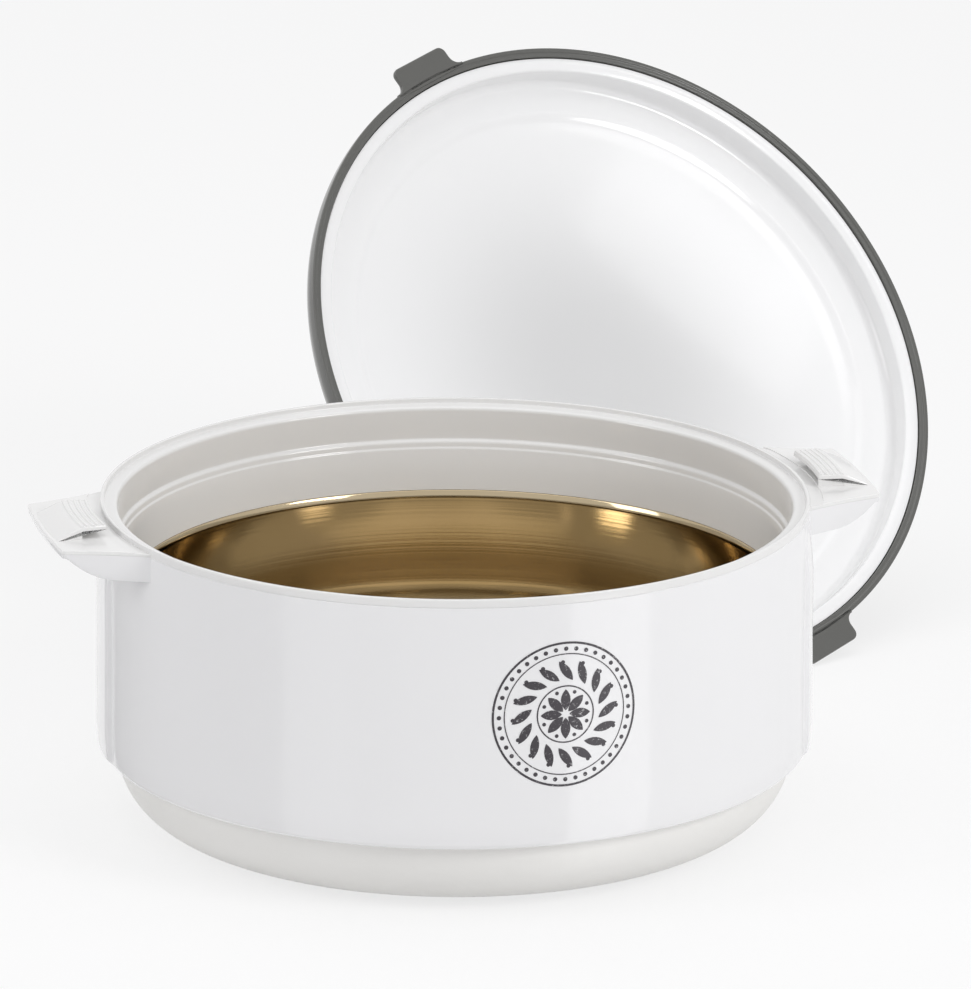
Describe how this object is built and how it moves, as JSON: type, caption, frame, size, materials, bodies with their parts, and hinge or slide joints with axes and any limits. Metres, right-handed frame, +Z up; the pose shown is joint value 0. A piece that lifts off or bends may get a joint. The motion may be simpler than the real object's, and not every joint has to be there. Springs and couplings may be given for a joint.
{
  "type": "insulated food jar",
  "caption": "Round insulated serving casserole with two handles, open, its loose twist-lock lid standing on edge behind it.",
  "frame": {"origin": "middle of the pot's foot ring, on the table", "axes": "+Z up along the pot's axis; the two handles lie along X; the lid stands behind, on the +Y side"},
  "size_m": [0.4074, 0.4408, 0.2184],
  "materials": {
    "white_gloss": "glossy moulded plastic, cool white",
    "collar_white": "semi-gloss moulded plastic, off-white",
    "base_satin": "satin moulded plastic, warm white",
    "steel": "polished stainless steel",
    "foam": "rigid insulating foam",
    "charcoal_gloss": "glossy moulded plastic, charcoal grey",
    "charcoal_texture": "fine diagonal texture, charcoal grey"
  },
  "bodies": {
    "pot": {"outer_shell": "white_gloss", "rim_collar": "collar_white", "steel_bowl": "steel", "pot_insulation": "foam", "base_cup": "base_satin"},
    "lid_inner": {"lid_liner": "collar_white", "lid_insulation": "foam"},
    "lid_outer": {"lid_cover": "charcoal_gloss", "lid_grip": "charcoal_gloss", "grip_band": "charcoal_texture"}
  },
  "joints": [
    {"name": "lid_carry", "type": "hinge", "parent": "pot", "child": "lid_inner", "pos_m": [0.0523, 0.1082, 0.0869], "axis": [0.7965, -0.4967, -0.3449], "range_deg": [0, 148.8]},
    {"name": "lid_turn", "type": "hinge", "parent": "lid_inner", "child": "lid_outer", "pos_m": [0.12335, 0.21175, 0.10991], "axis": [-0.2524, 0.7304, -0.6347], "range_deg": [0, 23.1]}
  ]
}
